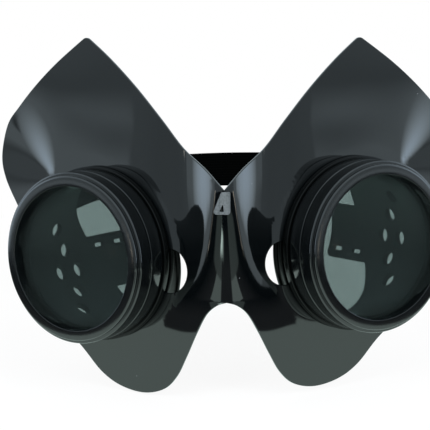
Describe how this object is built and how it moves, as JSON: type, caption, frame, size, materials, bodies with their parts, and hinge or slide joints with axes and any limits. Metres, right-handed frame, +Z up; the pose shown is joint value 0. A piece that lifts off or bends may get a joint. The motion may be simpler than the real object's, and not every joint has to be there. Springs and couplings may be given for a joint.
{
  "type": "cat ear goggles",
  "caption": "Gloss black formed sheet half mask with pointed cat ears, two splayed round screw-ring goggles with smoke lenses, and an adjustable black elastic head strap.",
  "frame": {"origin": "where the back of the nose ridge meets the bridge of the wearer's nose, on the middle plane, halfway up between the two goggles", "axes": "+X to the right of somebody looking at the front of the goggles, +Y back towards the wearer's head, +Z up"},
  "size_m": [0.1562, 0.1672, 0.1172],
  "materials": {
    "mask_sheet": "polished black flexible sheet, slightly wavy from forming, cut edges",
    "dart_tab": "dull grey pressed weld tab",
    "eye_cup": "moulded black, satin gloss",
    "clamp_ring": "moulded black, satin gloss",
    "lens_ring": "moulded black, gloss",
    "tinted_lens": "polished smoke tint, slightly green",
    "clear_lens": "polished, clear",
    "gasket": "matt black rubber",
    "strap": "black woven elastic, matt",
    "thread": "black sewing thread",
    "slider": "moulded black, satin gloss"
  },
  "bodies": {
    "mask": {"mask_sheet": "mask_sheet", "nose_dart_tab": "dart_tab", "left_eye_cup": "eye_cup", "left_clamp_ring": "clamp_ring", "right_eye_cup": "eye_cup", "right_clamp_ring": "clamp_ring", "elastic_strap": "strap", "strap_tack_front": "thread", "strap_tack_rear": "thread"},
    "left_lens_stack": {"left_tinted_lens": "tinted_lens", "left_clear_lens": "clear_lens", "left_lens_gasket": "gasket"},
    "left_screw_ring": {"left_lens_ring": "lens_ring"},
    "right_lens_stack": {"right_tinted_lens": "tinted_lens", "right_clear_lens": "clear_lens", "right_lens_gasket": "gasket"},
    "right_screw_ring": {"right_lens_ring": "lens_ring"},
    "slider": {"strap_slider": "slider"}
  },
  "joints": [
    {"name": "left_ring_travel", "type": "slide", "parent": "mask", "child": "left_lens_stack", "axis": [-0.5584, -0.8279, 0.0523], "range_m": [0, 0.0038]},
    {"name": "left_ring_turn", "type": "hinge", "parent": "left_lens_stack", "child": "left_screw_ring", "pos_m": [-0.0425, 0.02574, -0.001], "axis": [-0.5584, -0.8279, 0.0523], "range_deg": [0, 450]},
    {"name": "right_ring_travel", "type": "slide", "parent": "mask", "child": "right_lens_stack", "axis": [0.5584, -0.8279, 0.0523], "range_m": [0, 0.0038]},
    {"name": "right_ring_turn", "type": "hinge", "parent": "right_lens_stack", "child": "right_screw_ring", "pos_m": [0.0425, 0.02587, 0.001], "axis": [0.5584, -0.8279, 0.0523], "range_deg": [0, 450]},
    {"name": "slider_travel", "type": "slide", "parent": "mask", "child": "slider", "axis": [0, 1, 0], "range_m": [0, 0.022]}
  ],
  "couplings": [
    {"joint": "left_ring_travel", "follows": "left_ring_turn", "m_per_rad": 0.00047746},
    {"joint": "right_ring_travel", "follows": "right_ring_turn", "m_per_rad": 0.00047746}
  ]
}
